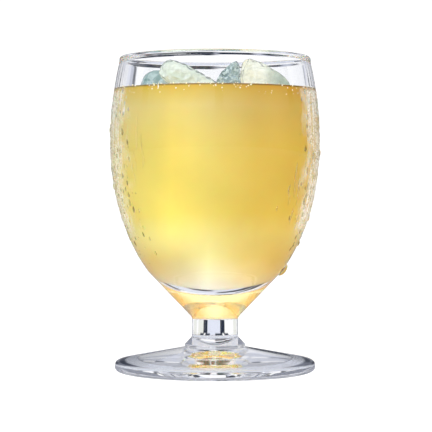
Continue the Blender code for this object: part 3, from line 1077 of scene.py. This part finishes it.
def ray_kinds(tree):
    """The sockets of the ray's path, whether glass bent it, and whether glass threw it back."""
    path = add_node(tree, "ShaderNodeLightPath").outputs
    bent = path["Is Transmission Ray"]
    return path, bent, maths(tree, "GREATER_THAN", path["Is Glossy Ray"], bent)


world = bpy.data.worlds.new("studio")
bpy.context.scene.world = world
world.use_nodes = True
tree = world.node_tree
axes = split(tree, add_node(tree, "ShaderNodeTexCoord").outputs["Generated"])
elevation = maths(tree, "ARCSINE", axes["Z"])


def in_panel(heights, middle, widths):
    """1 inside a panel of the sky and 0 outside it, with soft edges."""
    in_height = between(tree, elevation, np.radians(heights), HEIGHT_EDGE)
    return product(tree, in_height, in_bar(tree, axes, middle, widths))


sky = WHITE
for *panel, colour in SKY_PANELS:
    sky = blend(tree, in_panel(*panel), sky, colour)
path, _, thrown_back = ray_kinds(tree)
high = soft_step(tree, elevation, MIRRORED_LIMIT, MIRRORED_EDGE)
sky = blend(tree, thrown_back, sky, blend(tree, high, MIRRORED_LOW, MIRRORED))
sky = blend(tree, in_panel(*FOOT_PANEL), sky, DARK)
sky = blend(tree, path["Is Diffuse Ray"], sky, SOFT_WHITE)
sky = blend(tree, path["Is Camera Ray"], sky, PURE_WHITE)
tree.links.new(sky, tree.nodes["Background"].inputs["Color"])
set_inputs(tree.nodes["Background"], {"Strength": SKY_STRENGTH})

# %% [markdown]
# The stem, the bright crescent under the drink and the foot bend the floor into view. The far pair
# of bars shows in the stem, and the near ones in the crescent. Under the foot lies a pale disc of
# painted shade, with a ring of painted contact shadow where the foot touches the floor.

# %% Bars and shade on the floor
FLOOR_PALE = (0.72, 0.75, 0.86)
FLOOR_CREAM = (0.78, 0.79, 0.74)
FLOOR_GLOW = 0.22
MIDDLE_BAR = (-1.0, 9.9)
FAR_BAR = (9.9, 17.3)
NEAR_BARS = (
    # middle of a quarter, degrees from that middle
    (QUARTER_CENTRE, (5.5, 13.0)),
    (QUARTER_CENTRE, (16.0, 24.0)),
    (-4.9, (-1.0, 4.6)),
)
NEAR_BAR_REACH, NEAR_BAR_EDGE = 130 * MM, 10 * MM
CREAM_BAR = (-10.0, (28.0, 42.0))
SHADE_REACH, SHADE_EDGE = 37 * MM, 2 * MM
SHADE = (0.30, 0.32, 0.39)
# painted shade on the floor under the glass, seen through the foot
SHADE_UNDER_GLASS = (0.76, 0.79, 0.89)
# a painted contact shadow where the foot touches the floor
CONTACT_SHADOW_RING, CONTACT_SHADOW_EDGE = (29.4 * MM, 31.6 * MM), 0.6 * MM
tree = floor_material.node_tree
shader = tree.nodes["Principled BSDF"]
place = object_place(tree)
axes = split(tree, place)
from_axis = add_node(tree, "ShaderNodeVectorMath", operation="LENGTH")
tree.links.new(place, from_axis.inputs[0])
from_axis = from_axis.outputs["Value"]
far = soft_step(tree, from_axis, SHADE_REACH, SHADE_EDGE)
beyond = soft_step(tree, from_axis, NEAR_BAR_REACH, NEAR_BAR_EDGE)
contact_shadow = between(tree, from_axis, CONTACT_SHADOW_RING, CONTACT_SHADOW_EDGE)
near_bar = 0.0
for bar in NEAR_BARS:
    near_bar = maths(tree, "MAXIMUM", near_bar, in_bar(tree, axes, *bar))
dark_bar = blend(tree, beyond, near_bar, in_bar(tree, axes, QUARTER_CENTRE, FAR_BAR))
colour = blend(tree, in_bar(tree, axes, *CREAM_BAR), FLOOR_WHITE, FLOOR_CREAM)
colour = blend(tree, in_bar(tree, axes, QUARTER_CENTRE, MIDDLE_BAR), colour, FLOOR_PALE)
colour = blend(tree, dark_bar, colour, DARK)
colour = blend(tree, far, SHADE_UNDER_GLASS, colour)
colour = blend(tree, contact_shadow, colour, DARK)
path, bent, thrown_back = ray_kinds(tree)
colour = blend(tree, bent, FLOOR_WHITE, colour)
colour = blend(tree, thrown_back, colour, SHADE)
tree.links.new(colour, shader.inputs["Base Color"])
glow = product(tree, rest_of(tree, path["Is Glossy Ray"]), FLOOR_GLOW)
tree.links.new(glow, shader.inputs["Emission Strength"])
set_inputs(shader, {"Specular IOR Level": 0.0})

# %% The lamps
LAMP_SIZE = 0.7
LAMP_DISTANCE = 1.2


def soft_lamp(name, power, azimuth, height):
    """A square area light, turned towards the middle of the glass, its angles in degrees."""
    lamp = bpy.data.lights.new(name, "AREA")
    lamp.energy = power
    lamp.size = LAMP_SIZE
    holder = bpy.data.objects.new(name, lamp)
    angle, rise = np.radians([azimuth, height])
    aim = np.array([np.sin(angle) * np.cos(rise), -np.cos(angle) * np.cos(rise), np.sin(rise)])
    holder.location = aim * LAMP_DISTANCE + np.array([0, 0, TOTAL_HEIGHT / 2])
    holder.rotation_euler = (np.pi / 2 - rise, 0, angle)
    bpy.context.scene.collection.objects.link(holder)


soft_lamp("key_lamp", power=5.0, azimuth=-38, height=50)
soft_lamp("fill_lamp", power=1.2, azimuth=42, height=50)

# %% [markdown]
# ## Putting it together
# Every piece rides on the one body of the imported model. The solids that the pieces stand for
# are hidden.

# %% Ride on the body and hide the solids
pieces = {"glass": (glass, "clear_glass"), "drink": (drink, "cloudy_drink")}
for name, piece in ice.items():
    pieces[name] = (piece, "clear_ice")
for node, (piece, slot) in pieces.items():
    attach(piece, "root")
    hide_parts(node)
for piece in water:
    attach(piece, "root")
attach(bubbles, "root")

# %% Print the size
low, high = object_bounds()
print("visual box in mm:", [round(x / MM, 2) for x in (*low, *high)])
